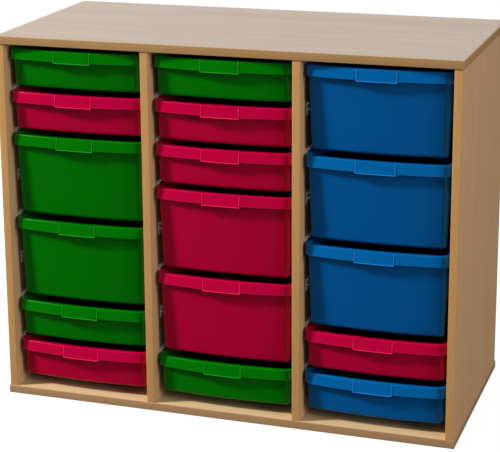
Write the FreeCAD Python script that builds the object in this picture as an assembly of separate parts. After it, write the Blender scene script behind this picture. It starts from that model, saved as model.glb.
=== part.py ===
import FreeCAD, Part
import math
import os

from collections import namedtuple
from FreeCAD import Placement, Rotation, Vector

# Triple-column tray storage unit: a carcass of faced board with three bays, clear runners at
# eight levels in each bay, and seventeen moulded trays that slide on them.
# Millimetres. X runs to the right, Y to the back, Z up. The origin is the middle of the
# footprint, on the surface that the base panel stands on.

# Moulded tray
TRAY_WIDTH = 312.0            # over the rim, side to side
TRAY_DEPTH = 427.0            # over the rim, front to back
SHALLOW_HEIGHT = 86.0         # rim top to underside
RIM_THICKNESS = 2.6
RIM_CORNER = 22.0
FLANGE = 8.0                  # rim's reach past the tray's wall, at the sides and back
CHEEK_INSET = 3.0             # rim's edge to the wider wall beside the front corners
SHOULDER_RUN = 4.0            # run behind the cheeks in which the wall steps in
WALL = 2.4
BODY_CORNER = 20.0
DRAFT = 2.6                   # lean of every wall, degrees
BASE_BEVEL = 8.0
FLATS = 4                     # flat faces to each round stretch of the body and inside the lip
LIP_BOW = 14.0                # how far the middle of the lip stands ahead of its ends
BODY_BOW = 9.0
LIP_REACH = 9.0               # middle of the rim's front edge to the wall behind it
LIP_HEIGHT = 24.0
LIP_LEAN = 3.0                # lower edge of the lip ahead of the rim's edge
LIP_THICKNESS = 2.2
LIP_RETURN = 5.0              # lip's run along the side past the body's round corner
LABEL_WIDTH = 86.0
LABEL_HEIGHT = 27.0
LABEL_BORDER = 2.2
LABEL_RELIEF = 1.4

# Stacking of the trays in a bay
ROWS = 8
ROW_GAP = 10.5                # clear height between a tray's underside and the next rim
HEAD_ROOM = 10.0              # top panel to the first rim
FOOT_ROOM = 22.5              # underside of the lowest tray to the base panel

# Clear runner, a C profile screwed to the board beside each tray
RUNNER_GAP = 3.0              # rim's edge to the board's face
RUNNER_WEB = 2.0
RUNNER_SHELF = 9.0            # reach of the shelf that carries the rim
RUNNER_GUIDE = 7.0            # reach of the upper flange that keeps the tray from tipping
RUNNER_FLANGE = 2.0           # thickness of the shelf and of the guide
RUNNER_SHORTFALL = 7.0        # tray's depth less the runner's length
RUNNER_DROP = 18.0            # rim's top face to the lower edge of the runner's web
GUIDE_CLEARANCE = 1.5         # top panel to the guides of the highest runners
REST_CLEARANCE = 0.3          # rim to the shelf that carries it
STOP_CLEARANCE = 0.5          # lip's rear end to the runner's front end

# Carcass
BAYS = 3
BOARD = 18.0
EDGING = 2.0                  # plastic strip on each edge of a board that shows
EDGING_CHAMFER = 0.8
OVERHANG = 2.0                # top and base panels past the upright panels, all round
HOUSING_DEPTH = 6.0           # reach of an upright panel's ends into the top and base panels
HOUSING_CLEARANCE = 0.1       # each side of an upright panel's end
TRAY_SETBACK = 3.0            # middle of the rim behind the upright panels' front edges
REAR_SPACE = 42.0             # tray's back rim to the back panel
BACK_THICKNESS = 6.0
BACK_INSET = 10.0             # back panel's rear face to the rear edge of the top panel
GROOVE_DEPTH = 8.0
GROOVE_CLEARANCE = 0.2        # each side of the back panel, and above it

# Trays of each bay from the top down, by the number of rows that each fills
SHALLOW, DEEP = 1, 2
BAY_NAMES = ("left", "middle", "right")
TRAY_ROWS = {
    "left": (SHALLOW, SHALLOW, DEEP, DEEP, SHALLOW, SHALLOW),
    "middle": (SHALLOW, SHALLOW, SHALLOW, DEEP, DEEP, SHALLOW),
    "right": (DEEP, DEEP, DEEP, SHALLOW, SHALLOW),
}

# Worked out from the sizes above
ROW_PITCH = SHALLOW_HEIGHT + ROW_GAP
GUIDE_RISE = HEAD_ROOM - GUIDE_CLEARANCE
RUNNER_LENGTH = TRAY_DEPTH - RUNNER_SHORTFALL
BAY_WIDTH = TRAY_WIDTH + 2 * RUNNER_GAP
UPRIGHTS_WIDTH = BAYS * BAY_WIDTH + (BAYS + 1) * BOARD
WIDTH = UPRIGHTS_WIDTH + 2 * OVERHANG
DEPTH = OVERHANG + TRAY_SETBACK + TRAY_DEPTH + REAR_SPACE + BACK_THICKNESS + BACK_INSET
INSIDE_HEIGHT = HEAD_ROOM + ROWS * ROW_PITCH - ROW_GAP + FOOT_ROOM
HEIGHT = INSIDE_HEIGHT + 2 * BOARD

FRONT = -DEPTH / 2            # front edge of the top and base panels
REAR = DEPTH / 2
UPRIGHT_FRONT = FRONT + OVERHANG
UPRIGHT_REAR = REAR - OVERHANG
INSIDE_TOP = HEIGHT - BOARD
BACK_REAR = REAR - BACK_INSET
BACK_FRONT = BACK_REAR - BACK_THICKNESS
TRAY_FRONT = UPRIGHT_FRONT + TRAY_SETBACK

Arc = namedtuple("Arc", "x y radius start end")


def block(x0, x1, y0, y1, z0, z1):
    """Rectangular block between two opposite corners."""
    return Part.makeBox(x1 - x0, y1 - y0, z1 - z0, Vector(x0, y0, z0))


def moved(shape, x, y, z):
    """Copy of a shape, shifted."""
    copy = shape.copy()
    copy.Placement = Placement(Vector(x, y, z), Rotation()).multiply(copy.Placement)
    return copy


def tray_plan(half, front, back, bow, corner, step):
    """Arcs of a tray's plan outline, anticlockwise from its bowed front.

    Straight sides and a straight back join them. The front's arc passes through (0, front) and
    would meet the sides `bow` further back. Behind its front corners each side steps in, between
    two sharp corners, which are arcs of no radius.
    """
    front_radius = (half ** 2 + bow ** 2) / (2 * bow)
    front_y = front + front_radius
    corner_x = half - corner
    corner_y = front_y - math.sqrt((front_radius - corner) ** 2 - corner_x ** 2)
    swing = math.degrees(math.asin(corner_x / (front_radius - corner)))
    rear_x = corner_x - step
    rear_y = back - corner
    step_end = corner_y + LIP_RETURN
    step_start = step_end - SHOULDER_RUN
    right_step = [Arc(half, step_start, 0, 0, 0), Arc(half - step, step_end, 0, 0, 0)]
    left_step = [Arc(step - half, step_end, 0, 180, 180), Arc(-half, step_start, 0, 180, 180)]
    return [
        Arc(0, front_y, front_radius, -90 - swing, -90 + swing),
        Arc(corner_x, corner_y, corner, -90 + swing, 0),
        *(right_step if step else []),
        Arc(rear_x, rear_y, corner, 0, 90),
        Arc(-rear_x, rear_y, corner, 90, 180),
        *(left_step if step else []),
        Arc(-corner_x, corner_y, corner, 180, 270 - swing),
    ]


RIM_PLAN = tray_plan(TRAY_WIDTH / 2, 0, TRAY_DEPTH, LIP_BOW, RIM_CORNER, 0)
BODY_PLAN = tray_plan(TRAY_WIDTH / 2 - CHEEK_INSET, LIP_REACH, TRAY_DEPTH - FLANGE, BODY_BOW,
                      BODY_CORNER, FLANGE - CHEEK_INSET)
LIP_END = BODY_PLAN[1].y + LIP_RETURN


def arc_point(arc, angle, inset, z):
    """Point of an arc that is drawn in by an inset, in a direction in degrees."""
    turn = math.radians(angle)
    reach = arc.radius - inset
    return Vector(arc.x + reach * math.cos(turn), arc.y + reach * math.sin(turn), z)


def apart(first, second):
    """Whether two points differ, so that a straight side joins them."""
    return not first.isEqual(second, 1e-6)


def outline(plan, inset, z):
    """Closed wire of a plan outline, drawn in by an inset."""
    edges = []
    for arc, following in zip(plan, plan[1:] + plan[:1]):
        middle = (arc.start + arc.end) / 2
        points = [arc_point(arc, angle, inset, z) for angle in (arc.start, middle, arc.end)]
        edges.append(Part.Arc(*points).toShape())
        start = arc_point(following, following.start, inset, z)
        if apart(points[-1], start):
            edges.append(Part.LineSegment(points[-1], start).toShape())
    return Part.Wire(edges)


def flat_corners(plan, inset, z):
    """Corners of the polygon that follows a plan outline, with a few flat sides to each arc."""
    points = []
    for arc in plan:
        for step in range(FLATS + 1):
            angle = arc.start + (arc.end - arc.start) * step / FLATS
            point = arc_point(arc, angle, inset, z)
            if not points or apart(points[-1], point):
                points.append(point)
    return points if apart(points[0], points[-1]) else points[:-1]


def flat_face(corners):
    """Flat face between corners."""
    return Part.Face(Part.makePolygon(corners + corners[:1]))


def drafted(plan, levels):
    """Flat-sided solid through a plan outline at several levels, each an inset and a height.

    Each arc keeps its centre as the outline is drawn in, so every wall has the same lean.
    """
    rings = [flat_corners(plan, *level) for level in levels]
    faces = [flat_face(rings[0]), flat_face(rings[-1])]
    for upper, lower in zip(rings, rings[1:]):
        for index in range(len(upper)):
            faces.append(flat_face([upper[index - 1], upper[index], lower[index],
                                    lower[index - 1]]))
    shell = Part.Shell(faces)
    shell.sewShape()
    return Part.Solid(shell)


def wall_inset(extra, drop):
    """Inset of the tray's wall at a depth below the rim, plus an extra."""
    return extra + math.tan(math.radians(DRAFT)) * drop


def leaning(face, height):
    """Prism from a face at the rim's top down to a height, at the lip's lean."""
    return face.extrude(Vector(0, -LIP_LEAN / LIP_HEIGHT, -1) * height)


def leaning_label(inset):
    """Prism on the rim's outline, as tall as the label holder."""
    return leaning(Part.Face(outline(RIM_PLAN, inset, 0)), LABEL_HEIGHT)


def label_holder():
    """Plate on the lip, below its lower edge too, with a raised border on three sides."""
    half = LABEL_WIDTH / 2
    front = block(-half, half, -LIP_REACH, LIP_REACH, -LABEL_HEIGHT, 0)
    window = block(-half + LABEL_BORDER, half - LABEL_BORDER, -LIP_REACH, LIP_REACH,
                   -LABEL_HEIGHT + LABEL_BORDER, 0)
    raised = leaning_label(-LABEL_RELIEF)
    plate = raised.cut(leaning_label(LIP_THICKNESS)).common(front)
    return plate.cut(raised.cut(leaning_label(0)).common(window))


def lip():
    """Front of the rim with the leaning lip below it, round both front corners."""
    hollow = leaning(flat_face(flat_corners(RIM_PLAN, LIP_THICKNESS, 0)), LIP_HEIGHT)
    below = block(-TRAY_WIDTH, TRAY_WIDTH, -TRAY_DEPTH, TRAY_DEPTH, -2 * LIP_HEIGHT,
                  -RIM_THICKNESS)
    front = block(-TRAY_WIDTH, TRAY_WIDTH, -TRAY_DEPTH, LIP_END, -LIP_HEIGHT, 0)
    whole = leaning(Part.Face(outline(RIM_PLAN, 0, 0)), LIP_HEIGHT)
    return whole.cut(hollow.common(below)).common(front)


def rim():
    """Flat rim behind the lip, which the runners carry."""
    whole = Part.Face(outline(RIM_PLAN, 0, 0)).extrude(Vector(0, 0, -RIM_THICKNESS))
    return whole.common(block(-TRAY_WIDTH, TRAY_WIDTH, LIP_END, TRAY_DEPTH, -RIM_THICKNESS, 0))


def tray(rows):
    """Moulded tray that fills a number of rows, its rim's top face at z = 0, front at y = 0."""
    height = SHALLOW_HEIGHT + (rows - 1) * ROW_PITCH
    bevel = height - BASE_BEVEL
    body = drafted(BODY_PLAN, [(0, 0), (wall_inset(0, bevel), -bevel),
                               (wall_inset(BASE_BEVEL, bevel), -height)])
    inner = BASE_BEVEL + WALL * (math.sqrt(2) - 1)
    bevel = height - inner
    hollow = drafted(BODY_PLAN, [(wall_inset(WALL, -WALL), WALL),
                                 (wall_inset(WALL, bevel), -bevel),
                                 (wall_inset(inner, bevel), WALL - height)])
    shell = body.fuse([rim(), lip(), label_holder()]).cut(hollow)
    return shell.removeSplitter().Solids[0]


def runner(side):
    """Runner for one side of a tray; side is -1 on the tray's left and 1 on its right.

    Its web lies on the board's face, its shelf passes under the rim, and its guide over it. The
    web runs on below the shelf.
    """
    face = side * BAY_WIDTH / 2
    start = LIP_END + STOP_CLEARANCE
    shelf_top = -RIM_THICKNESS - REST_CLEARANCE
    profile = [(0, -RUNNER_DROP), (RUNNER_WEB, -RUNNER_DROP),
               (RUNNER_WEB, shelf_top - RUNNER_FLANGE), (RUNNER_SHELF, shelf_top - RUNNER_FLANGE),
               (RUNNER_SHELF, shelf_top), (RUNNER_WEB, shelf_top),
               (RUNNER_WEB, GUIDE_RISE - RUNNER_FLANGE), (RUNNER_GUIDE, GUIDE_RISE - RUNNER_FLANGE),
               (RUNNER_GUIDE, GUIDE_RISE), (0, GUIDE_RISE)]
    corners = [Vector(face - side * reach, start, z) for reach, z in profile]
    section = Part.Face(Part.makePolygon(corners + corners[:1]))
    return section.extrude(Vector(0, RUNNER_LENGTH, 0))


def bay_centre(bay):
    """Middle of a bay, counted from the left."""
    return (bay - (BAYS - 1) / 2) * (BAY_WIDTH + BOARD)


def row_height(row):
    """Height of the rim's top face in a row, counted from the top."""
    return INSIDE_TOP - HEAD_ROOM - row * ROW_PITCH


def upright_space(index, spare):
    """Space of an upright panel, counted from the left, with its ends in their housings.

    A divider stops at the back panel. The spare room is beside the panel and behind it.
    """
    centre = (index - BAYS / 2) * (BAY_WIDTH + BOARD)
    half = BOARD / 2 + spare
    rear = UPRIGHT_REAR if index in (0, BAYS) else BACK_FRONT
    return block(centre - half, centre + half, UPRIGHT_FRONT + EDGING - spare, rear + spare,
                 BOARD - HOUSING_DEPTH, INSIDE_TOP + HOUSING_DEPTH)


def back_groove():
    """Space of the groove that holds the back panel's four edges."""
    half = UPRIGHTS_WIDTH / 2 - BOARD + GROOVE_DEPTH
    return block(-half, half, BACK_FRONT - GROOVE_CLEARANCE, BACK_REAR + GROOVE_CLEARANCE,
                 BOARD - GROOVE_DEPTH, INSIDE_TOP + GROOVE_DEPTH)


def horizontal_panel(z0):
    """Core of the top or base panel, housed for the upright panels, without its edging."""
    half = WIDTH / 2 - EDGING
    panel = block(-half, half, FRONT + EDGING, REAR - EDGING, z0, z0 + BOARD)
    housings = [upright_space(index, HOUSING_CLEARANCE) for index in range(BAYS + 1)]
    return panel.cut(housings + [back_groove()]).Solids[0]


def upright_panel(index):
    """Core of a side panel or divider, without its edging."""
    return upright_space(index, 0).cut(back_groove()).Solids[0]


def strip(x0, x1, y0, y1, z0, z1, outward):
    """Edging strip; the long edges of the face that points outward are chamfered."""
    solid = block(x0, x1, y0, y1, z0, z1)
    longest = max(solid.BoundBox.XLength, solid.BoundBox.YLength, solid.BoundBox.ZLength)
    middle = solid.BoundBox.Center
    edges = [edge for edge in solid.Edges
             if abs(edge.Length - longest) < EDGING
             and (edge.CenterOfMass - middle).dot(outward) > 0]
    return solid.makeChamfer(EDGING_CHAMFER, edges)


def horizontal_edging(z0):
    """Four strips round the top or base panel; front and rear ones cover the side ones' ends."""
    half, z1 = WIDTH / 2, z0 + BOARD
    return [
        strip(-half, half, FRONT, FRONT + EDGING, z0, z1, Vector(0, -1, 0)),
        strip(-half, half, REAR - EDGING, REAR, z0, z1, Vector(0, 1, 0)),
        strip(-half, -half + EDGING, FRONT + EDGING, REAR - EDGING, z0, z1, Vector(-1, 0, 0)),
        strip(half - EDGING, half, FRONT + EDGING, REAR - EDGING, z0, z1, Vector(1, 0, 0)),
    ]


def upright_edging(index):
    """Strip on the front edge of an upright panel, between the top and base panels."""
    panel = upright_space(index, 0).BoundBox
    return strip(panel.XMin, panel.XMax, UPRIGHT_FRONT, UPRIGHT_FRONT + EDGING,
                 BOARD, INSIDE_TOP, Vector(0, -1, 0))


def back_panel():
    """Thin panel in the groove, standing on the bottom of the groove."""
    half = UPRIGHTS_WIDTH / 2 - BOARD + GROOVE_DEPTH - GROOVE_CLEARANCE
    return block(-half, half, BACK_FRONT, BACK_REAR, BOARD - GROOVE_DEPTH,
                 INSIDE_TOP + GROOVE_DEPTH - GROOVE_CLEARANCE)


def write(node, solids):
    """One STEP file for one node."""
    shape = solids[0] if len(solids) == 1 else Part.makeCompound(solids)
    shape.exportStep(os.path.join("parts", node + ".step"))


def write_carcass():
    """Boards, their edging and the back panel."""
    write("base_panel", [horizontal_panel(0)])
    write("top_panel", [horizontal_panel(INSIDE_TOP)])
    write("base_edging", horizontal_edging(0))
    write("top_edging", horizontal_edging(INSIDE_TOP))
    write("back_panel", [back_panel()])
    for index, name in enumerate(("left_side", "left_divider", "right_divider", "right_side")):
        write(name + "_panel", [upright_panel(index)])
        write(name + "_edging", [upright_edging(index)])


def write_runners():
    """A pair of runners for each row of each bay."""
    pair = [runner(side) for side in (-1, 1)]
    for bay, name in enumerate(BAY_NAMES):
        for row in range(ROWS):
            place = (bay_centre(bay), TRAY_FRONT, row_height(row))
            write("runners_%s_%d" % (name, row + 1), [moved(rail, *place) for rail in pair])


def write_trays():
    """Every tray in its bay, pushed in."""
    moulded = {rows: tray(rows) for rows in (SHALLOW, DEEP)}
    for bay, name in enumerate(BAY_NAMES):
        row = 0
        for number, rows in enumerate(TRAY_ROWS[name]):
            place = (bay_centre(bay), TRAY_FRONT, row_height(row))
            write("tray_%s_%d" % (name, number + 1), [moved(moulded[rows], *place)])
            row += rows


os.makedirs("parts", exist_ok=True)
write_carcass()
write_runners()
write_trays()
print("width %.1f, depth %.1f, height %.1f" % (WIDTH, DEPTH, HEIGHT))
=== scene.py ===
"""Looks of a tray storage unit: moulded trays, clear runners, faced boards, studio and camera.

Every length is in metres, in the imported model's own frame: +X right, +Y back, +Z up.
"""

from __future__ import annotations

import logging
import math
from dataclasses import dataclass, field
from enum import Enum

import bpy
import numpy as np
from mathutils import Matrix, Vector

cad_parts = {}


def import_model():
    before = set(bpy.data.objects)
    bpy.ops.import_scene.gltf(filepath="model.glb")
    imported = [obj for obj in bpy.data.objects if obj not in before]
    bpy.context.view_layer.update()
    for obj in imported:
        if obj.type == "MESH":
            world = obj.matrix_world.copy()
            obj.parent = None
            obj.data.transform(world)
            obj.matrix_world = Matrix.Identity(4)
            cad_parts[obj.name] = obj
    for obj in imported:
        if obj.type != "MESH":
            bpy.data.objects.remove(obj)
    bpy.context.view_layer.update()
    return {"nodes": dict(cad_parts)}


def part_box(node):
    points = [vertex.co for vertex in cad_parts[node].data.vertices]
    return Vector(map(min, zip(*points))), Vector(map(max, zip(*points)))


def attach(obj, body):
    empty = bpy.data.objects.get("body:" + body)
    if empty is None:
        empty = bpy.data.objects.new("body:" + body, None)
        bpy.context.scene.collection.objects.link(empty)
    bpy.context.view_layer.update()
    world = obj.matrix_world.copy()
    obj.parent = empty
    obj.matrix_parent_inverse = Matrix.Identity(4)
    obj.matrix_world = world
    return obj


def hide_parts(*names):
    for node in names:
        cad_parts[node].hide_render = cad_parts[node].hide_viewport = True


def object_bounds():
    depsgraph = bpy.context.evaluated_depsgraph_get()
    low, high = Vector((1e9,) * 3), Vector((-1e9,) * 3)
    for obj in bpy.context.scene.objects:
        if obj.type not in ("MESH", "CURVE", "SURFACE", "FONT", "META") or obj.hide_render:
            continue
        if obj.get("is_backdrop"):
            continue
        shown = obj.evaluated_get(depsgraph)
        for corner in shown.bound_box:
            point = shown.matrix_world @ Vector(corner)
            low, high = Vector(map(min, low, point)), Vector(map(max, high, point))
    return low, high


LOG = logging.getLogger("tray_storage_unit")
MM = 0.001

Triple = tuple[float, float, float]
Socket = bpy.types.NodeSocket
Value = float | tuple | Socket


class Axis(Enum):
    """Direction that a board's grain or a strip runs in."""

    X = 0
    Y = 1
    Z = 2


class TrayColour(Enum):
    """Colour of a moulded tray, by its material slot in the record."""

    GREEN = "tray_green"
    CRIMSON = "tray_crimson"
    BLUE = "tray_blue"


class WoodTone(Enum):
    """Lighter and darker linear colour of each kind of facing and edging."""

    FACING = ((0.6, 0.37, 0.19), (0.51, 0.305, 0.15))
    # Paler and greyer than the other facings: partly the top's own tone, partly painted sheen.
    TOP_FACING_AND_PAINTED_SHEEN = ((0.435, 0.337, 0.257), (0.385, 0.29, 0.215))
    # Lighter than the other facings: painted light on the base's top, where it lies in shade.
    BASE_FACING_WITH_PAINTED_LIGHT = ((0.7, 0.48, 0.26), (0.62, 0.42, 0.22))
    TOP_TRIM = ((0.41, 0.228, 0.086), (0.35, 0.194, 0.073))
    BASE_TRIM = ((0.41, 0.236, 0.112), (0.352, 0.198, 0.091))
    UPRIGHT_TRIM = ((0.55, 0.29, 0.1), (0.47, 0.245, 0.085))


# Meshes


def quad_grid(rows: int, columns: int, start: int = 0, closed: bool = True) -> np.ndarray:
    """Quads between neighbouring rows of a grid of points.

    The quad of row r and column c joins (r, c), (r + 1, c), (r + 1, c + 1) and (r, c + 1).

    Args:
        rows: number of rows of points.
        columns: number of points in a row.
        start: index of the grid's first point.
        closed: whether the last column joins the first.

    Returns:
        One row of four point indices for each quad.
    """
    r, c = np.meshgrid(np.arange(rows - 1), np.arange(columns if closed else columns - 1),
                       indexing="ij")
    after = (c + 1) % columns
    corners = [r * columns + c, (r + 1) * columns + c, (r + 1) * columns + after,
               r * columns + after]
    return np.stack(corners, axis=-1).reshape(-1, 4) + start


def tube_faces(rows: int, columns: int, start: int = 0) -> list[list[int]]:
    """Quads of a tube made of closed rings, and one face over each end ring.

    Args:
        rows: number of rings.
        columns: number of points in a ring.
        start: index of the first ring's first point.

    Returns:
        Point indices of each face.
    """
    end = start + rows * columns
    faces = quad_grid(rows, columns, start).tolist()
    faces.append(list(range(start, start + columns)))
    faces.append(list(range(end - 1, end - columns - 1, -1)))
    return faces


def plate_faces(rows: int, columns: int) -> list[list[int]]:
    """Faces of a plate between a front grid of points and then a rear one.

    Args:
        rows: number of rows in each grid, counted upwards.
        columns: number of points in a row, counted from the left.

    Returns:
        Point indices of each face.
    """
    count = rows * columns
    ahead = quad_grid(rows, columns, closed=False)[:, ::-1]
    behind = quad_grid(rows, columns, start=count, closed=False)
    foot, left = np.arange(columns), np.arange(rows) * columns
    head, right = foot + count - columns, left + columns - 1
    loop = np.concatenate([foot[:-1], right[:-1], head[:0:-1], left[:0:-1]])
    after = np.roll(loop, -1)
    rim = np.stack([loop, loop + count, after + count, after], 1)
    return np.concatenate([ahead, behind, rim]).tolist()


def add_mesh(name: str, points: np.ndarray, faces: list[list[int]], sharp_degrees: float = 35.0,
             lightness: np.ndarray | None = None) -> bpy.types.Object:
    """Makes a smooth-shaded object at the origin, with its place in its mesh.

    Args:
        name: name of the piece.
        points: one row of x, y, z for each point.
        faces: point indices of each face, anticlockwise seen from outside.
        sharp_degrees: an edge that turns by more than this stays sharp.
        lightness: painted light and shade at each point: 0 on broad walls, painted darker as
        shade, 1 on the lip, and more on thin edges as painted highlights.

    Returns:
        The new object, linked to the scene.
    """
    mesh = bpy.data.meshes.new(name)
    mesh.from_pydata(points.reshape(-1, 3).tolist(), [], faces)
    mesh.update()
    mesh.shade_smooth()
    mesh.set_sharp_from_angle(angle=math.radians(sharp_degrees))
    if lightness is not None:
        layer = mesh.attributes.new("lightness", "FLOAT", "POINT")
        layer.data.foreach_set("value", lightness.reshape(-1))
    piece = bpy.data.objects.new(name, mesh)
    bpy.context.scene.collection.objects.link(piece)
    return piece


def arc_profile(centre: tuple[float, float], radius: float, start: float, end: float,
                count: int) -> np.ndarray:
    """Points of a circular arc in a section: centre + radius * (cos a, sin a).

    Args:
        centre: its centre in the section's two coordinates.
        radius: its radius.
        start: first direction in degrees.
        end: last direction in degrees.
        count: number of points, both ends included.

    Returns:
        One row of two coordinates for each point.
    """
    turn = np.radians(np.linspace(start, end, count))
    return np.stack([centre[0] + radius * np.cos(turn), centre[1] + radius * np.sin(turn)], 1)


def smooth_step(value: np.ndarray) -> np.ndarray:
    """Rises from 0 to 1 as 3 v^2 - 2 v^3, for v held between 0 and 1."""
    held = np.clip(value, 0.0, 1.0)
    return held * held * (3 - 2 * held)


# Materials


class Nodes:
    """Short ways to build one node tree."""

    def __init__(self, tree: bpy.types.NodeTree) -> None:
        """Keeps the tree, emptied of what is in it."""
        self.tree = tree
        tree.nodes.clear()

    def add(self, kind: str, inputs: dict[str | int, Value] | None = None,
            **settings: object) -> bpy.types.Node:
        """Adds a node.

        Args:
            kind: the node's type, in full or without its ShaderNode prefix.
            inputs: value, or output socket to link, for each input by name or number.
            **settings: attributes of the node.

        Returns:
            The new node.
        """
        full = kind if kind.startswith("NodeGroup") else "ShaderNode" + kind
        node = self.tree.nodes.new(full)
        for key, setting in settings.items():
            setattr(node, key, setting)
        for key, value in (inputs or {}).items():
            self.feed(node, key, value)
        return node

    def feed(self, node: bpy.types.Node, key: str | int, value: Value) -> None:
        """Sets an input to a value, or links an output socket to it.

        Args:
            node: the node.
            key: name or number of its input.
            value: the value or the output socket.
        """
        if isinstance(value, Socket):
            self.tree.links.new(value, node.inputs[key])
        else:
            node.inputs[key].default_value = value

    def ramp(self, factor: Value, low: float, high: float, start: float = 0.0,
             end: float = 1.0) -> Socket:
        """Number that goes from start to end while the factor goes from low to high."""
        inputs = {0: factor, 1: low, 2: high, 3: start, 4: end}
        return self.add("MapRange", inputs).outputs[0]

    def mix(self, factor: Value, first: Value, second: Value, blend: str = "MIX") -> Socket:
        """Result of blending two colours, by default a share of each."""
        inputs = {0: factor, 6: first, 7: second}
        return self.add("Mix", inputs, data_type="RGBA", blend_type=blend).outputs[2]

    def blend(self, factor: Value, first: Value, second: Value) -> Socket:
        """Number between two numbers."""
        return self.add("Mix", {0: factor, 2: first, 3: second}, data_type="FLOAT").outputs[0]

    def maths(self, operation: str, first: Value, second: Value) -> Socket:
        """Result of a two-sided sum."""
        return self.add("Math", {0: first, 1: second}, operation=operation).outputs[0]

    def stretched(self, at: Value, scale: Triple, turn: Triple = (0, 0, 0)) -> Socket:
        """Coordinates multiplied by a scale along each axis and then turned."""
        return self.add("Mapping", {"Vector": at, "Rotation": turn, "Scale": scale}).outputs[0]

    def noise(self, at: Value, scale: float, detail: float, **shape: float) -> Socket:
        """Noise from 0 to 1, with other inputs of its node by name."""
        inputs = {"Vector": at, "Scale": scale, "Detail": detail, **shape}
        return self.add("TexNoise", inputs).outputs[0]

    def surface(self, skin: bpy.types.Node, relief: tuple[float, float],
                constants: dict[str, float]) -> None:
        """Ends a material's tree with a Principled shader that a group feeds.

        Args:
            skin: the group's node.
            relief: strength and distance of the bump that its Height makes.
            constants: value for each of the shader's inputs that is the same all over.
        """
        bump = self.add("Bump", {"Strength": relief[0], "Distance": relief[1],
                                 "Height": skin.outputs["Height"]})
        shader = self.add("BsdfPrincipled", {
            **constants, "Base Color": skin.outputs["Colour"],
            "Roughness": skin.outputs["Roughness"], "Normal": bump.outputs[0]})
        self.add("OutputMaterial", {"Surface": shader.outputs[0]})


def new_group(name: str, defaults: dict[str, float | tuple]) -> tuple[
        Nodes, bpy.types.NodeOutputs, bpy.types.Node]:
    """Starts a shader node group that gives a surface's values at a Vector.

    Args:
        name: the group's name.
        defaults: default of each of its other inputs, a colour or a number.

    Returns:
        The group's builder, its inputs' sockets, and its output node with Colour, Roughness
        and Height.
    """
    tree = bpy.data.node_groups.new(name, "ShaderNodeTree")
    tree.interface.new_socket("Vector", in_out="INPUT", socket_type="NodeSocketVector")
    for key, default in defaults.items():
        kind = "NodeSocketColor" if isinstance(default, tuple) else "NodeSocketFloat"
        socket = tree.interface.new_socket(key, in_out="INPUT", socket_type=kind)
        socket.default_value = default
    for key, kind in {"Colour": "Color", "Roughness": "Float", "Height": "Float"}.items():
        tree.interface.new_socket(key, in_out="OUTPUT", socket_type="NodeSocket" + kind)
    nodes = Nodes(tree)
    return nodes, nodes.add("NodeGroupInput").outputs, nodes.add("NodeGroupOutput")


def grain_group() -> bpy.types.NodeTree:
    """Wood grain on coordinates whose first axis runs along the grain.

    Broad streaks and fine fibres are noise drawn out along the grain, and short dark flecks are
    the thin peaks of a third noise.

    Returns:
        The group.
    """
    nodes, given, result = new_group("WoodGrain", {
        "Light": (0.6, 0.45, 0.3, 1), "Dark": (0.45, 0.3, 0.17, 1),
        "Fleck": (0.3, 0.17, 0.08, 1), "Streaks": 0.5, "Flecks": 0.35})
    at = given["Vector"]
    streak = nodes.noise(nodes.stretched(at, (0.55, 9.0, 9.0)), 2.6, 5.0,
                         Roughness=0.55, Distortion=0.35)
    fibre = nodes.noise(nodes.stretched(at, (3.0, 120.0, 120.0)), 3.0, 3.0)
    fleck = nodes.noise(nodes.stretched(at, (14.0, 130.0, 130.0)), 4.0, 1.0)
    broad = nodes.maths("MULTIPLY", nodes.ramp(streak, 0.34, 0.66), given["Streaks"])
    fine = nodes.ramp(fibre, 0.3, 0.75, 0.0, 0.3)
    both = nodes.maths("ADD", broad, fine)
    body = nodes.mix(both, given["Light"], given["Dark"])
    speck = nodes.maths("MULTIPLY", nodes.ramp(fleck, 0.62, 0.75), given["Flecks"])
    nodes.feed(result, "Colour", nodes.mix(speck, body, given["Fleck"]))
    nodes.feed(result, "Roughness", nodes.ramp(both, 0.0, 1.0, 0.36, 0.5))
    nodes.feed(result, "Height", nodes.maths("ADD", fine, nodes.maths("MULTIPLY", speck, -0.6)))
    return nodes.tree


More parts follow.
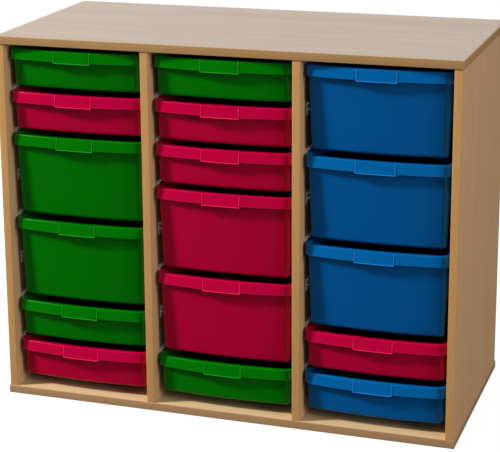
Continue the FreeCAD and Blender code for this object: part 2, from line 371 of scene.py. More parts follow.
def moulded_group() -> bpy.types.NodeTree:
    """Skin of a moulded plastic piece: a fine spark texture, soft clouds and a few scuffs.

    Lightness 0 gives the colour of broad walls, painted darker as shade, and 1 that of the lip
    and rim. Thin raised edges go from 1 to 2, painted highlights of up to 1.6 times the lip's
    colour with a little white.

    Returns:
        The group.
    """
    nodes, given, result = new_group("MouldedSkin", {
        "Colour": (0.5, 0.5, 0.5, 1), "Deep": (0.3, 0.3, 0.3, 1), "Lightness": 1.0,
        "Smooth": 0.3, "Scuffed": 0.5})
    at = given["Vector"]
    cloud = nodes.noise(at, 9.0, 3.0)
    spark = nodes.noise(at, 1500.0, 2.0)
    line = nodes.noise(nodes.stretched(at, (16.0, 160.0, 90.0), (0.0, 0.5, 0.35)), 3.0, 4.0)
    scuff = nodes.maths("MULTIPLY", nodes.ramp(line, 0.66, 0.8), given["Scuffed"])
    share = nodes.maths("SUBTRACT", given["Lightness"], nodes.ramp(cloud, 0.3, 0.7, 0.0, 0.15))
    # Painted shade: broad walls take the darker colour and the lip the full colour, with soft
    # clouds.
    plain = nodes.mix(nodes.ramp(share, 0.0, 1.0), given["Deep"], given["Colour"])
    # Painted highlight on thin raised edges: 1.6 times the colour with a little white.
    painted_highlight = nodes.mix(1.0, given["Colour"], (1.6, 1.6, 1.6, 1), "MULTIPLY")
    edge = nodes.mix(0.015, painted_highlight, (1.0, 1.0, 1.0, 1))
    nodes.feed(result, "Colour", nodes.mix(nodes.ramp(share, 1.0, 2.0), plain, edge))
    rough = nodes.maths("ADD", given["Smooth"], nodes.maths("MULTIPLY", cloud, 0.08))
    nodes.feed(result, "Roughness",
               nodes.maths("ADD", rough, nodes.maths("MULTIPLY", scuff, 0.25)))
    nodes.feed(result, "Height", nodes.maths("ADD", spark, scuff))
    return nodes.tree


@dataclass(frozen=True)
class Groups:
    """Node groups that several materials share."""

    grain: bpy.types.NodeTree
    moulded: bpy.types.NodeTree


def new_material(name: str) -> tuple[bpy.types.Material, Nodes]:
    """Starts a material.

    Args:
        name: its name.

    Returns:
        The material and the builder of its empty node tree.
    """
    material = bpy.data.materials.new(name)
    material.use_nodes = True
    return material, Nodes(material.node_tree)


@dataclass(frozen=True)
class WoodFinish:
    """Satin wood-grain facing.

    Attributes:
        name: name of the material.
        grain: the axis that the grain runs along.
        tone: the wood's colours.
        fleck: colour of the short flecks, linear.
        streaks: strength of the streaks.
        flecks: strength of the flecks.
        offset: shift of the pattern, so that no two boards match.
        relief: strength and distance of the bump.
    """

    name: str
    grain: Axis
    tone: WoodTone
    fleck: Triple = (0.27, 0.155, 0.07)
    streaks: float = 0.4
    flecks: float = 0.12
    offset: tuple[float, ...] = (0.0, 0.0, 0.0)
    relief: tuple[float, float] = (0.12, 0.4 * MM)

    def build(self, groups: Groups) -> bpy.types.Material:
        """Makes the material.

        Args:
            groups: the shared node groups.

        Returns:
            The material.
        """
        turns = {Axis.X: (0.0, 0.0, 0.0), Axis.Y: (0.0, 0.0, -math.pi / 2),
                 Axis.Z: (0.0, math.pi / 2, 0.0)}
        light, dark = self.tone.value
        material, nodes = new_material(self.name)
        at = nodes.add("TexCoord").outputs["Object"]
        turned = nodes.add("Mapping", {"Vector": at, "Location": self.offset,
                                       "Rotation": turns[self.grain]}).outputs[0]
        grain = nodes.add("Group", {
            "Vector": turned, "Light": (*light, 1), "Dark": (*dark, 1), "Fleck": (*self.fleck, 1),
            "Streaks": self.streaks, "Flecks": self.flecks}, node_tree=groups.grain)
        nodes.surface(grain, self.relief, {"IOR": 1.5})
        return material


@dataclass(frozen=True)
class SkinFinish:
    """Finish of a moulded or plated piece of one colour.

    Attributes:
        name: name of the material.
        colour: its colour, linear.
        deep: darker colour, linear, that soft clouds blend in; on pieces that take
        painted light it is also the colour of broad walls, painted darker as shade.
        constants: shader inputs that are the same all over.
        smooth: least roughness.
        scuffed: strength of the scuffs.
        takes_painted_light: whether the pieces carry the attribute lightness, which paints
        shade on broad walls and highlights on thin edges.
        relief: strength and distance of the bump.
    """

    name: str
    colour: Triple
    deep: Triple
    constants: dict[str, float]
    smooth: float = 0.3
    scuffed: float = 0.5
    takes_painted_light: bool = False
    relief: tuple[float, float] = (0.06, 0.1 * MM)

    def build(self, groups: Groups) -> bpy.types.Material:
        """Makes the material.

        Args:
            groups: the shared node groups.

        Returns:
            The material.
        """
        material, nodes = new_material(self.name)
        skin = nodes.add("Group", {
            "Vector": nodes.add("TexCoord").outputs["Object"], "Colour": (*self.colour, 1),
            "Deep": (*self.deep, 1), "Smooth": self.smooth, "Scuffed": self.scuffed},
            node_tree=groups.moulded)
        # Painted light and shade from the mesh's lightness attribute.
        if self.takes_painted_light:
            attribute = nodes.add("Attribute", attribute_name="lightness")
            nodes.feed(skin, "Lightness", attribute.outputs["Fac"])
        nodes.surface(skin, self.relief, self.constants)
        return material


def dress(piece: bpy.types.Object, material: bpy.types.Material) -> None:
    """Puts a material in every slot of a piece, and in a new one where it has none.

    Args:
        piece: the piece.
        material: the material.
    """
    if not piece.material_slots:
        piece.data.materials.append(material)
    for slot in piece.material_slots:
        slot.material = material


# Trays


@dataclass(frozen=True)
class OutlineSteps:
    """Where the samples round a tray's outline lie.

    Attributes:
        side: distances of the samples behind the front corner, along a side.
        front: number of steps along the bowed front.
        corner: number of steps round a corner.
        back: number of steps along the back.
    """

    side: np.ndarray
    front: int = 56
    corner: int = 12
    back: int = 20


@dataclass(frozen=True)
class Plan:
    """Plan outline of a tray: a bowed front, straight sides and back, round corners.

    Attributes:
        half: half the width.
        front: y of the middle of the bowed front.
        back: y of the straight back.
        bow: how far behind the front's middle its arc would meet the sides.
        corner: radius of the corners.
        shoulder: how far each side steps in behind the front corners.
        shoulder_start: where the step starts, behind the front corners' centres.
        shoulder_run: length that the step takes.
    """

    half: float
    front: float
    back: float
    bow: float
    corner: float
    shoulder: float = 0.0
    shoulder_start: float = 0.0
    shoulder_run: float = 1.0

    @property
    def front_radius(self) -> float:
        """Radius of the bowed front."""
        return (self.half ** 2 + self.bow ** 2) / (2 * self.bow)

    @property
    def corner_y(self) -> float:
        """Y of the centres of the two front corners."""
        reach = self.front_radius - self.corner
        return self.front + self.front_radius - math.sqrt(
            reach ** 2 - (self.half - self.corner) ** 2)

    def around(self, steps: OutlineSteps) -> tuple[np.ndarray, np.ndarray, np.ndarray]:
        """Samples of the outline, anticlockwise from the left end of its bowed front.

        A sample drawn out by o lies at centre + (radius + o) * (cos a, sin a), also along the
        straight sides, where centre and radius run evenly between those of the corners. Behind
        the shoulder the centres' x is smaller by its step.

        Args:
            steps: where the samples lie.

        Returns:
            Centres, radii and directions of the samples.
        """
        centre_x, rear_y = self.half - self.corner, self.back - self.corner
        reach = self.front_radius - self.corner
        swing = math.degrees(math.asin(centre_x / reach))
        corner = np.linspace(0, 1, steps.corner, endpoint=False)
        middle = np.linspace(0, 1, steps.front, endpoint=False)
        side = steps.side / steps.side[-1]
        back = np.linspace(0, 1, steps.back, endpoint=False)
        stretches = [
            ((0, self.front + self.front_radius), (0, 0), self.front_radius,
             -90 - swing + 2 * swing * middle, middle),
            ((centre_x, self.corner_y), (0, 0), self.corner,
             -90 + swing + (90 - swing) * corner, corner),
            ((centre_x, self.corner_y), (0, rear_y - self.corner_y), self.corner,
             0 * side[:-1], side[:-1]),
            ((centre_x, rear_y), (0, 0), self.corner, 90 * corner, corner),
            ((centre_x, rear_y), (-2 * centre_x, 0), self.corner, 90 + 0 * back, back),
            ((-centre_x, rear_y), (0, 0), self.corner, 90 + 90 * corner, corner),
            ((-centre_x, rear_y), (0, self.corner_y - rear_y), self.corner,
             180 + 0 * side[:-1], (1 - side[::-1])[:-1]),
            ((-centre_x, self.corner_y), (0, 0), self.corner,
             180 + (90 - swing) * corner, corner),
        ]
        centres = np.concatenate([np.array(start) + np.outer(along, run)
                                  for start, run, _, _, along in stretches])
        radii = np.concatenate([np.full(len(along), radius)
                                for _, _, radius, _, along in stretches])
        turns = np.radians(np.concatenate([angles for _, _, _, angles, _ in stretches]))
        behind = centres[:, 1] - self.corner_y - self.shoulder_start
        stepped = smooth_step(behind / self.shoulder_run)
        centres[:, 0] *= 1 - self.shoulder * stepped / centre_x
        return centres, radii, np.stack([np.cos(turns), np.sin(turns)], 1)


@dataclass(frozen=True)
class TraySizes:
    """Sizes of a moulded tray that its bounding box doesn't give, and its grades of lightness.

    Attributes:
        depth: depth over the rim.
        flange: how far the rim stands out beyond the body.
        wall: thickness of the walls.
        draft: angle that the walls lean out by.
        cheek_inset: how far the cheeks beside the front stay inside the rim.
        shoulder_run: length in which a cheek steps in to the body's side.
        rim_thickness, rim_corner, rim_round: the rim, its corners in plan and its two arrises.
        inner_round: radius of the arris at the tray's mouth.
        body_corner, base_round: radii of the body in plan and between walls and base.
        lip_bow, body_bow: how far the fronts of lip and body bow.
        lip_reach: how far the lip stands ahead of the body's front.
        lip_height, lip_thickness, lip_round: the lip and its upper arris.
        lip_lean: how far the lip's foot lies ahead of its head.
        lip_return: how far the lip goes along the sides, behind the corners' centres.
        lip_notch: length in which the lip's end gives way to the flange.
        foot_width, foot_rise: the ring that the tray stands on.
        label_width, label_height, label_head: the label holder's width, and how far its foot
            and its upper edge lie below the rim's top face.
        label_border, label_relief: width and height of its raised border.
        label_plate: how far the plate within the border stands out.
        label_fade: length in which both die away under the upper edge.
        inside_painted_shade, edge_painted_highlight, base_painted_highlight: painted light
        and shade of the inside, painted darker than the lip, and painted highlights on the lip's
        lower edge and on the base's round edge.
    """

    depth: float = 427 * MM
    flange: float = 8 * MM
    wall: float = 2.4 * MM
    draft: float = math.radians(2.6)
    cheek_inset: float = 3 * MM
    shoulder_run: float = 4 * MM
    rim_thickness: float = 2.6 * MM
    rim_corner: float = 22 * MM
    rim_round: float = 0.9 * MM
    inner_round: float = 0.8 * MM
    body_corner: float = 20 * MM
    base_round: float = 8 * MM
    lip_bow: float = 14 * MM
    body_bow: float = 9 * MM
    lip_reach: float = 9 * MM
    lip_height: float = 24 * MM
    lip_lean: float = 3 * MM
    lip_thickness: float = 2.2 * MM
    lip_round: float = 2.3 * MM
    lip_return: float = 5 * MM
    lip_notch: float = 2.4 * MM
    foot_width: float = 9 * MM
    foot_rise: float = 0.9 * MM
    label_width: float = 86 * MM
    label_height: float = 27 * MM
    label_head: float = 1 * MM
    label_border: float = 2.2 * MM
    label_relief: float = 1.4 * MM
    label_plate: float = 0.12 * MM
    label_fade: float = 2 * MM
    inside_painted_shade: float = 0.3
    edge_painted_highlight: float = 1.25
    base_painted_highlight: float = 0.8


@dataclass
class MouldedTray:
    """One tray with its lip and label holder.

    Attributes:
        node: the tray's CAD node, which is also its body.
        colour: the tray's colour.
        sizes: sizes that the node's box doesn't give.
    """

    node: str
    colour: TrayColour
    sizes: TraySizes = field(default_factory=TraySizes)

    def __post_init__(self) -> None:
        """Reads the tray's place from its node's box."""
        low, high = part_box(self.node)
        self.half = (high.x - low.x) / 2
        self.place = np.array([(low.x + high.x) / 2, high.y - self.sizes.depth, high.z])
        self.height = high.z - low.z
        s = self.sizes
        self.rim = Plan(self.half, 0.0, s.depth, s.lip_bow, s.rim_corner)
        self.body = Plan(self.half - s.cheek_inset, s.lip_reach, s.depth - s.flange,
                         s.body_bow, s.body_corner, s.flange - s.cheek_inset,
                         s.lip_return - s.shoulder_run, s.shoulder_run)
        self.lip_end = self.body.corner_y + s.lip_return

    def sections(self) -> tuple[np.ndarray, np.ndarray, np.ndarray, np.ndarray]:
        """Sections of the tray with its lip and with its flange, of as many points each.

        A point is (o, z): how far it lies outside its plan outline, and its height above the
        rim's top face. Both run up the inside from the floor, over the rim, down and up again
        round its edge, and down the outside to the foot.

        Returns:
            The lip's section, the flange's section, whether each point belongs to the rim's
            outline instead of the body's, and its painted light and shade.
        """
        s, lean = self.sizes, math.tan(self.sizes.draft)
        inner = s.base_round - s.wall * 0.4
        edge, crown, brow, tip = s.inner_round, s.rim_round, s.lip_round, s.lip_thickness / 2
        root = (s.cheek_inset - s.lip_thickness) / 2
        floor = s.wall - self.height
        low = floor + inner
        inside = np.concatenate([
            arc_profile((-s.wall + lean * low - inner, low), inner, -90, 0, 7),
            [[-s.wall + lean * low * share, low * share] for share in (0.66, 0.33)],
            arc_profile((edge - s.wall, -edge), edge, 180, 90, 4),
        ])
        down = np.linspace(0, 1, 7)[1:-1]
        drop = s.lip_height
        lip = np.concatenate([
            arc_profile((-brow, -brow), brow, 90, 0, 7),
            np.stack([0 * down, -brow - (drop - tip - brow) * down], 1),
            arc_profile((-tip, tip - drop), tip, 0, -180, 7),
            [[-2 * tip, -drop * 0.66], [-2 * tip, -drop * 0.33]],
            arc_profile((-2 * tip - root, -s.rim_thickness - root), root, 0, 90, 4),
        ])
        thick = s.rim_thickness
        under = np.linspace(-crown, -2 * tip - root, 13)[1:9]
        flange = np.concatenate([
            arc_profile((-crown, -crown), crown, 90, 0, 7),
            np.stack([0 * down, -crown - (thick - 2 * crown) * down], 1),
            arc_profile((-crown, crown - thick), crown, 0, -90, 5),
            np.stack([under, 0 * under - thick], 1),
        ])
        top = s.rim_thickness + root
        base = s.base_round - self.height
        foot = lean * base - s.base_round - s.foot_width
        wall_z = [base * share - top * (1 - share) for share in (0.25, 0.5, 0.75)]
        outside = np.concatenate([
            arc_profile((root, -top), root, 90, 180, 4),
            [[lean * z, z] for z in wall_z],
            arc_profile((lean * base - s.base_round, base), s.base_round, 0, -90, 9),
            [[foot, -self.height], [foot - 1.5 * s.foot_rise, s.foot_rise - self.height]],
        ])
        counts = [len(inside), len(lip), len(outside)]
        on_rim = np.repeat([False, True, False], counts)
        # Painted light and shade: the lip 1, the inside painted darker, the outer walls darkest
        # at 0.
        lightness = np.repeat([s.inside_painted_shade, 1.0, 0.0], counts)
        # Painted highlights on the samples of the lip's lower edge and of the base's round edge.
        tip_highlight, base_highlight = slice(12, 15), slice(10, 12)
        lightness[len(inside):][tip_highlight] = s.edge_painted_highlight
        lightness[-len(outside):][base_highlight] = s.base_painted_highlight
        return (np.concatenate([inside, lip, outside]),
                np.concatenate([inside, flange, outside]), on_rim, lightness)

    def shell(self) -> bpy.types.Object:
        """Tray's closed skin: its section carried round its outline.

        At sample i, a section point (o, z) lies at centre_i + (radius_i + o) * direction_i of
        the body's or the rim's outline, at height z. Round the front the section is the lip's,
        moved forward by its lean's share of z, and elsewhere it is the flange's.

        Returns:
            The tray's object.
        """
        s = self.sizes
        run = s.depth - s.rim_corner - self.rim.corner_y
        end = self.lip_end - self.rim.corner_y
        side = np.concatenate([np.linspace(0, end - s.lip_notch, 9),
                               end - s.lip_notch * np.linspace(1, 0, 7)[1:],
                               end + np.array([2, 8, 25]) * MM,
                               run * np.array([0.2, 0.4, 0.6, 0.8, 1.0])])
        lip, flange, on_rim, lightness = self.sections()
        body, rim = [plan.around(OutlineSteps(side)) for plan in (self.body, self.rim)]
        rim_y = rim[0][:, 1] + rim[1] * rim[2][:, 1]
        share = 1 - smooth_step((rim_y - self.lip_end) / s.lip_notch + 1)
        section = (lip[:, None, :] * share[None, :, None]
                   + flange[:, None, :] * (1 - share)[None, :, None])
        flat = [centres + (radii + section[:, :, 0])[:, :, None] * directions
                for centres, radii, directions in (body, rim)]
        flat = np.where(on_rim[:, None, None], flat[1], flat[0])
        points = np.concatenate([flat, section[:, :, 1:]], axis=2)
        points[:, :, 1] += (section[:, :, 1] * s.lip_lean / s.lip_height * share
                            * on_rim[:, None])
        rows, columns = points.shape[:2]
        return add_mesh(self.node + "_moulding", points.reshape(-1, 3) + self.place,
                        tube_faces(rows, columns), lightness=np.repeat(lightness, columns))

    def lip_front(self, x: np.ndarray, z: np.ndarray) -> np.ndarray:
        """Y of the lip's outer face: the bowed front's circle, moved forward by the lean."""
        radius, slope = self.rim.front_radius, self.sizes.lip_lean / self.sizes.lip_height
        return radius - np.sqrt(radius ** 2 - x ** 2) + z * slope

    def label_holder(self) -> bpy.types.Object:
        """Plate on the lip with a raised border at its sides and foot.

        Its front is a grid of x and z. At a distance d inward from the sides and the foot it
        stands ahead of the lip's face by relief * sqrt(1 - (2 d / border - 1)^2), a half-round
        ridge, and further in by the plate's thickness. Its rear lies inside the lip.

        Returns:
            The label holder's object.
        """
        s = self.sizes
        half, foot, head = s.label_width / 2, -s.label_height, -s.label_head
        across = s.label_border * np.array([0, 0.06, 0.2, 0.38, 0.6, 0.8, 0.94, 1.0, 1.3])
        within = np.linspace(across[-1] - half, half - across[-1], 22)[1:-1]
        x = np.concatenate([across - half, within, half - across[::-1]])
        z = np.concatenate([foot + across, np.linspace(foot + across[-1], head, 9)[1:]])
        grid_x, grid_z = np.meshgrid(x, z)
        inward = np.minimum(half - np.abs(grid_x), grid_z - foot)
        ridge = np.sqrt(np.clip(1 - (2 * inward / s.label_border - 1) ** 2, 0, 1))
        fade = smooth_step((head - grid_z) / s.label_fade)
        plate = s.label_plate * np.clip(inward / s.label_border, 0, 1)
        relief = (plate + (s.label_relief - s.label_plate) * ridge) * fade
        face = self.lip_front(grid_x, grid_z)
        rear = face + s.lip_thickness * 0.8
        points = np.concatenate([np.stack([grid_x, y, grid_z], 2).reshape(-1, 3)
                                 for y in (face - relief, rear)])
        # Painted highlight on the raised border, fading under the upper edge; the rear stays at
        # 1.
        light = np.stack([1 + np.clip(2 * ridge, 0, 1) * fade, np.ones_like(ridge)])
        return add_mesh(self.node + "_label_holder", points + self.place,
                        plate_faces(*grid_x.shape), 50.0, light)

    def build(self, material: bpy.types.Material) -> list[bpy.types.Object]:
        """Makes the tray's pieces, dresses them and sets them on their body.

        Args:
            material: the tray's finish.

        Returns:
            The pieces.
        """
        pieces = [self.shell(), self.label_holder()]
        for piece in pieces:
            dress(piece, material)
            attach(piece, self.node)
        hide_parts(self.node)
        return pieces


# Carcass


@dataclass(frozen=True)
class EdgingStrip:
    """Straight strip with two rounded arrises on its outer face.

    Attributes:
        low, high: lowest and highest corner.
        run, outward: axes along the strip and across its thickness.
        sign: 1 where its outer face looks along that axis, -1 where it looks back.
        round: radius of the two arrises.
        end: length in which the strip draws in at both ends.
        nick: bevel of the two edges that lie on the board.
    """

    low: Vector
    high: Vector
    run: Axis
    outward: Axis
    sign: int
    round: float = 1.3 * MM
    end: float = 0.35 * MM
    nick: float = 0.15 * MM

    def surface(self) -> tuple[np.ndarray, list[list[int]]]:
        """Strip's rounded section carried along it, drawn in a little at both ends.

        Returns:
            Points and faces of the closed strip.
        """
        run, out = self.run.value, self.outward.value
        across = 3 - run - out
        thick = self.high[out] - self.low[out]
        tall = self.high[across] - self.low[across]
        r, nick, half = self.round, self.nick, tall / 2
        section = np.concatenate([
            [[0, nick - half], [nick, -half]],
            arc_profile((thick - r, r - half), r, -90, 0, 7),
            arc_profile((thick - r, half - r), r, 0, 90, 7),
            [[nick, half], [0, half - nick]],
        ])
        length = self.high[run] - self.low[run]
        start = self.end * np.array([0, 0.3, 1])
        along = np.concatenate([start, length - start[::-1]])
        drawn_in = self.end * 0.6 * np.array([1, 0.3, 0, 0, 0.3, 1])
        centre = np.array([thick / 2, 0])
        ring = centre + (section - centre) * (
            1 - drawn_in[:, None, None] / np.array([thick, tall]))
        points = np.zeros((len(along), len(section), 3))
        face = self.low[out] if self.sign > 0 else self.high[out]
        points[:, :, out] = face + self.sign * ring[:, :, 0]
        points[:, :, across] = (self.low[across] + self.high[across]) / 2 + ring[:, :, 1]
        points[:, :, run] = self.low[run] + along[:, None]
        faces = tube_faces(*points.shape[:2])
        turn = np.zeros((3, 3))
        turn[0, out], turn[1, across], turn[2, run] = self.sign, 1, 1
        if np.linalg.det(turn) > 0:
            faces = [side[::-1] for side in faces]
        return points.reshape(-1, 3), faces


@dataclass
class Carcass:
    """Boards, their edging and the back panel.

    Attributes:
        strip: thickness of the edging.
        shift: shift of the grain from one board to the next.
    """

    strip: float = 2 * MM
    shift: Triple = (0.37, 0.61, 0.23)

    def strips_round(self, node: str) -> list[EdgingStrip]:
        """Four strips round a horizontal panel; front and rear ones cover the side ones' ends.

        Args:
            node: the CAD node of the panel's edging.

        Returns:
            The front, rear, left and right strip.
        """
        low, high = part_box(node)
        t = self.strip
        return [
            EdgingStrip(low, Vector((high.x, low.y + t, high.z)), Axis.X, Axis.Y, -1),
            EdgingStrip(Vector((low.x, high.y - t, low.z)), high, Axis.X, Axis.Y, 1),
            EdgingStrip(Vector((low.x, low.y + t, low.z)),
                        Vector((low.x + t, high.y - t, high.z)), Axis.Y, Axis.X, -1),
            EdgingStrip(Vector((high.x - t, low.y + t, low.z)),
                        Vector((high.x, high.y - t, high.z)), Axis.Y, Axis.X, 1),
        ]

    def edging(self, node: str, strips: list[EdgingStrip],
               material: bpy.types.Material) -> bpy.types.Object:
        """Makes one node's edging as one piece.

        Args:
            node: the CAD node that the piece stands for.
            strips: the strips.
            material: their finish.

        Returns:
            The piece.
        """
        points, faces, count = [], [], 0
        for strip in strips:
            own, sides = strip.surface()
            faces += [[index + count for index in side] for side in sides]
            points.append(own)
            count += len(own)
        piece = add_mesh(node + "_strips", np.concatenate(points), faces)
        dress(piece, material)
        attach(piece, "carcass")
        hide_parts(node)
        return piece

    def build(self, groups: Groups, nodes: dict[str, bpy.types.Object]) -> list[bpy.types.Object]:
        """Dresses the boards and replaces their edging.

        Args:
            groups: the shared node groups.
            nodes: the CAD nodes by name.

        Returns:
            The boards and the edgings.
        """
        boards = {"top_panel": Axis.X, "base_panel": Axis.X, "back_panel": Axis.Z,
                  "left_side_panel": Axis.Z, "left_divider_panel": Axis.Z,
                  "right_divider_panel": Axis.Z, "right_side_panel": Axis.Z}
        # The top's tone holds painted sheen and the base's tone painted light.
        tones = {"top_panel": WoodTone.TOP_FACING_AND_PAINTED_SHEEN, "base_panel": WoodTone.BASE_FACING_WITH_PAINTED_LIGHT}
        for number, (node, grain) in enumerate(boards.items()):
            finish = WoodFinish(node + "_facing", grain, tones.get(node, WoodTone.FACING),
                                offset=tuple(part * number for part in self.shift))
            dress(nodes[node], finish.build(groups))
        pieces = [nodes[node] for node in boards]
        for name, tone in (("top", WoodTone.TOP_TRIM), ("base", WoodTone.BASE_TRIM)):
            node = name + "_edging"
            trim = WoodFinish(node + "_trim", Axis.X, tone).build(groups)
            pieces.append(self.edging(node, self.strips_round(node), trim))
        trim = WoodFinish("upright_edging_trim", Axis.Z, WoodTone.UPRIGHT_TRIM).build(groups)
        for name in ("left_side", "left_divider", "right_divider", "right_side"):
            node = name + "_edging"
            strip = EdgingStrip(*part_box(node), Axis.Z, Axis.Y, -1)
            pieces.append(self.edging(node, [strip], trim))
        return pieces


@dataclass(frozen=True)
class RunnerPair:
    """Clear runners of one level, held by recessed pan-head screws, two to a runner.

    Attributes:
        node: the CAD node of the pair.
        web: thickness of the runners' web, which the heads lie on.
        above: height of the screws above the web's lower edge.
        inset: distance of the screws from the runners' ends.
    """

    node: str
    web: float = 2 * MM
    above: float = 6.5 * MM
    inset: float = 35 * MM

    def screws(self) -> bpy.types.Object:
        """Makes the pair's four screw heads as one piece.

        A head is the section (r, h) turned about its axis: a point lies at distance r from the
        axis, at angle t, and stands h off the web.

        Returns:
            The piece.
        """
        low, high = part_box(self.node)
        section = np.array([[0.02, 0.75], [1.0, 0.75], [1.2, 0.95], [1.3, 1.5], [1.5, 1.6],
                            [2.4, 1.45], [3.1, 1.0], [3.45, 0.4], [3.5, -0.2], [0.02, -0.2]]) * MM
        radius, off = section[:, :1], section[:, 1:]
        turn = np.linspace(0, 2 * math.pi, 24, endpoint=False)
        heads, faces = [], []
        for web, sign in ((low.x + self.web, 1), (high.x - self.web, -1)):
            for middle in (low.y + self.inset, high.y - self.inset):
                head = np.stack([np.repeat(web + sign * off, len(turn), 1),
                                 middle + radius * np.cos(turn) * sign,
                                 low.z + self.above + radius * np.sin(turn)], 2)
                rows, columns = head.shape[:2]
                faces += tube_faces(rows, columns, len(heads) * rows * columns)
                heads.append(head.reshape(-1, 3))
        return add_mesh(self.node + "_screws", np.concatenate(heads), faces, 40.0)

    def build(self, runners: bpy.types.Object, clear: bpy.types.Material,
              steel: bpy.types.Material) -> list[bpy.types.Object]:
        """Dresses the runners and adds their screws.

        Args:
            runners: the CAD node's object.
            clear: the runners' finish.
            steel: the screws' finish.

        Returns:
            The runners and the screws.
        """
        dress(runners, clear)
        piece = self.screws()
        dress(piece, steel)
        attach(piece, "carcass")
        return [runners, piece]


# Whole object

GREEN, CRIMSON, BLUE = TrayColour.GREEN, TrayColour.CRIMSON, TrayColour.BLUE


@dataclass
class StorageUnit:
    """The unit with all its pieces.

    Attributes:
        bays: colours of each bay's trays, from the highest down.
        dyes_and_shaded_walls: linear colours of the lip and of the walls for each tray colour;
        the walls' colour is the dye painted darker as shade.
        plastic: the trays' shader inputs that are the same all over.
        gloss: the trays' least roughness.
    """

    bays: dict[str, tuple[TrayColour, ...]] = field(default_factory=lambda: {
        "left": (GREEN, CRIMSON, GREEN, GREEN, GREEN, CRIMSON),
        "middle": (GREEN, CRIMSON, CRIMSON, CRIMSON, CRIMSON, GREEN),
        "right": (BLUE, BLUE, BLUE, CRIMSON, BLUE),
    })
    # Each pair: the lip's colour, then the walls' colour painted darker as shade.
    dyes_and_shaded_walls: dict[TrayColour, tuple[Triple, Triple]] = field(default_factory=lambda: {
        GREEN: ((0.0, 0.162, 0.0), (0.0, 0.148, 0.0)),
        CRIMSON: ((0.48, 0.0, 0.042), (0.4, 0.0, 0.029)),
        BLUE: ((0.0, 0.112, 0.345), (0.0, 0.082, 0.275)),
    })
    plastic: dict[str, float] = field(default_factory=lambda: {
        "IOR": 1.49, "Specular IOR Level": 0.17})
    gloss: float = 0.17

    def build(self, nodes: dict[str, bpy.types.Object]) -> list[bpy.types.Object]:
        """Makes and dresses every piece.

        Args:
            nodes: the CAD nodes by name.

        Returns:
            The pieces.
        """
        groups = Groups(grain_group(), moulded_group())
        pieces = Carcass().build(groups, nodes)
        clear = SkinFinish("clear_runner", (0.95, 0.95, 0.93), (0.9, 0.9, 0.88),
                           {"IOR": 1.58, "Transmission Weight": 0.15}).build(groups)
        steel = SkinFinish("plated_steel", (0.66, 0.65, 0.62), (0.5, 0.49, 0.47),
                           {"Metallic": 1.0}, 0.28, 0.2).build(groups)
        for name, runners in nodes.items():
            if name.startswith("runners_"):
                pieces += RunnerPair(name).build(runners, clear, steel)
        # The trays' finishes take painted light and shade from each mesh's lightness attribute.
        plastics = {colour: SkinFinish(colour.name.lower() + "_moulding", lip, wall, self.plastic,
                                       self.gloss, takes_painted_light=True).build(groups)
                    for colour, (lip, wall) in self.dyes_and_shaded_walls.items()}
        for bay, colours in self.bays.items():
            for number, colour in enumerate(colours, 1):
                tray = MouldedTray("tray_%s_%d" % (bay, number), colour)
                pieces += tray.build(plastics[colour])
        return pieces


# Studio


@dataclass(frozen=True)
class PhotoCamera:
    """Camera at the photograph's place.

    Attributes:
        place: where it stands.
        azimuth, elevation: degrees to the right of straight in front, and above the horizon.
        roll: degrees that it is turned about its axis.
        focal_px: focal length in the photograph's pixels.
        axis_px: pixel that its axis passes through.
        frame_px: width and height of the photograph.
        sensor: width of the sensor in millimetres.
    """

    place: Triple = (1.131, -3.506, 1.487)
    azimuth: float = 19.807
    elevation: float = 14.971
    roll: float = -0.772
    focal_px: float = 1689.96
    axis_px: tuple[float, float] = (200.0, 172.0)
    frame_px: tuple[float, float] = (500.0, 452.0)
    sensor: float = 36.0

    def build(self) -> None:
        """Makes the camera the scene's."""
        data = bpy.data.cameras.new("photo_camera")
        data.sensor_fit = "HORIZONTAL"
        data.sensor_width = self.sensor
        width, height = self.frame_px
        data.lens = self.focal_px * self.sensor / width
        data.shift_x = (width / 2 - self.axis_px[0]) / width
        data.shift_y = (self.axis_px[1] - height / 2) / width
        data.clip_start, data.clip_end = 0.05, 100.0
        camera = bpy.data.objects.new("photo_camera", data)
        bpy.context.scene.collection.objects.link(camera)
        a, e = math.radians(self.azimuth), math.radians(self.elevation)
        ahead = Vector((-math.sin(a) * math.cos(e), math.cos(a) * math.cos(e), -math.sin(e)))
        right = Vector((math.cos(a), math.sin(a), 0.0))
        up = right.cross(ahead)
        level = Matrix((right, up, -ahead)).transposed()
        turn = level @ Matrix.Rotation(math.radians(self.roll), 3, "Z")
        camera.matrix_world = Matrix.Translation(self.place) @ turn.to_4x4()
        bpy.context.scene.camera = camera


@dataclass(frozen=True)
class Lamp:
    """Soft square lamp that looks at the middle of the unit.

    Attributes:
        name: the lamp's name.
        azimuth, elevation: degrees to the right of straight in front, and above the horizon.
        distance: from the unit's middle.
        size: side of the square.
        power: in watts.
    """

    name: str
    azimuth: float
    elevation: float
    distance: float
    size: float
    power: float

    def build(self, middle: Vector) -> None:
        """Hangs the lamp.

        Args:
            middle: what it looks at.
        """
        data = bpy.data.lights.new(self.name, "AREA")
        data.shape, data.size, data.energy = "SQUARE", self.size, self.power
        lamp = bpy.data.objects.new(self.name, data)
        bpy.context.scene.collection.objects.link(lamp)
        a, e = math.radians(self.azimuth), math.radians(self.elevation)
        away = Vector((math.sin(a) * math.cos(e), -math.cos(a) * math.cos(e), math.sin(e)))
        lamp.location = middle + away * self.distance
        lamp.rotation_euler = away.to_track_quat("Z", "Y").to_euler()


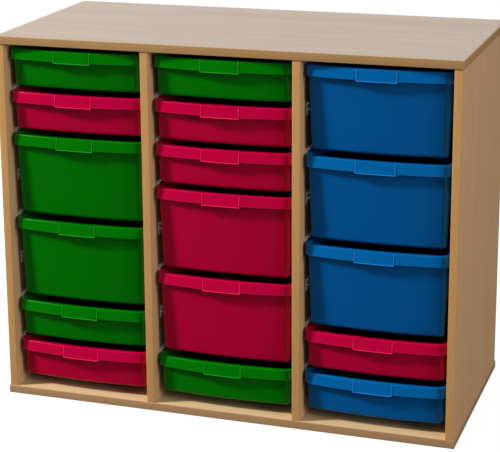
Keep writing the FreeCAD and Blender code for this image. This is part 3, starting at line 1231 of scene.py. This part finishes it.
@dataclass(frozen=True)
class Studio:
    """White floor and surroundings with soft lamps.

    Attributes:
        overhead, underfoot: the room's light from above and from below.
        backdrop, in_front: the room behind and in front of the unit, as shiny surfaces see it.
        floor_side, floor_drop: side of the floor, and its depth below the unit's foot.
        floor_seen: the floor's matt colour under the camera.
        floor_lit, floor_shine: its colour for light that it throws back, and in shiny surfaces.
        floor_glow, glow_share: strength and share of the white that the camera sees in it.
        lamps: the lamps.
    """

    overhead: float = 0.48
    underfoot: float = 0.08
    backdrop: float = 0.8
    in_front: float = 0.016
    floor_side: float = 60.0
    floor_drop: float = 0.4 * MM
    floor_seen: Triple = (0.45, 0.44, 0.42)
    floor_lit: Triple = (0.2, 0.195, 0.185)
    floor_shine: Triple = (0.03, 0.03, 0.03)
    floor_glow: float = 1.17
    glow_share: float = 0.82
    lamps: tuple[Lamp, ...] = (
        Lamp("key", -64.0, 36.0, 8.0, 1.0, 840.0),
        Lamp("fill", 68.0, 15.0, 8.0, 3.0, 290.0),
    )

    def world(self) -> None:
        """Room that the camera sees as white, with its light from above.

        Shiny surfaces see a pale backdrop behind the unit and a dim room in front of it.
        """
        world = bpy.data.worlds.new("white_room")
        bpy.context.scene.world = world
        world.use_nodes = True
        nodes = Nodes(world.node_tree)
        path = nodes.add("LightPath").outputs
        aim = nodes.add("SeparateXYZ", {0: nodes.add("TexCoord").outputs["Generated"]}).outputs
        soft = nodes.ramp(aim["Z"], -0.3, 1.0, self.underfoot, self.overhead)
        shine = nodes.ramp(aim["Y"], -0.2, 0.5, self.in_front, self.backdrop)
        seen = nodes.maths("MAXIMUM", path["Is Camera Ray"], path["Is Transmission Ray"])
        indoors = nodes.blend(path["Is Glossy Ray"], soft, shine)
        mixed = nodes.add("Background", {"Color": (1, 1, 1, 1),
                                         "Strength": nodes.blend(seen, indoors, 1.0)})
        nodes.add("OutputWorld", {"Surface": mixed.outputs[0]})

    def floor(self) -> None:
        """White floor that keeps the unit's soft shadow."""
        side = self.floor_side / 2
        corners = [[-side, -side], [side, -side], [side, side], [-side, side]]
        points = np.array([[x, y, -self.floor_drop] for x, y in corners])
        floor = add_mesh("studio_floor", points, [[0, 1, 2, 3]])
        material, nodes = new_material("studio_floor_white")
        path = nodes.add("LightPath").outputs
        tint = nodes.mix(path["Is Glossy Ray"], (*self.floor_lit, 1), (*self.floor_shine, 1))
        matt = nodes.add("BsdfDiffuse", {
            "Color": nodes.mix(path["Is Camera Ray"], tint, (*self.floor_seen, 1))})
        glow = nodes.add("Emission", {"Color": (1, 1, 1, 1), "Strength": self.floor_glow})
        seen = nodes.maths("MULTIPLY", path["Is Camera Ray"], self.glow_share)
        mixed = nodes.add("MixShader", {0: seen, 1: matt.outputs[0], 2: glow.outputs[0]})
        nodes.add("OutputMaterial", {"Surface": mixed.outputs[0]})
        dress(floor, material)
        floor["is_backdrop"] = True

    def build(self) -> None:
        """Sets up the surroundings, the floor, the lamps and plain colour handling."""
        low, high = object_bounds()
        self.world()
        self.floor()
        for lamp in self.lamps:
            lamp.build((low + high) / 2)
        bpy.context.scene.view_settings.view_transform = "Standard"


def main() -> None:
    """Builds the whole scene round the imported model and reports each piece."""
    logging.basicConfig(level=logging.INFO, format="%(message)s")
    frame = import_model()
    for piece in StorageUnit().build(frame["nodes"]):
        LOG.info("%s: %d faces", piece.name, len(piece.data.polygons))
    Studio().build()
    PhotoCamera().build()


if __name__ == "__main__":
    main()
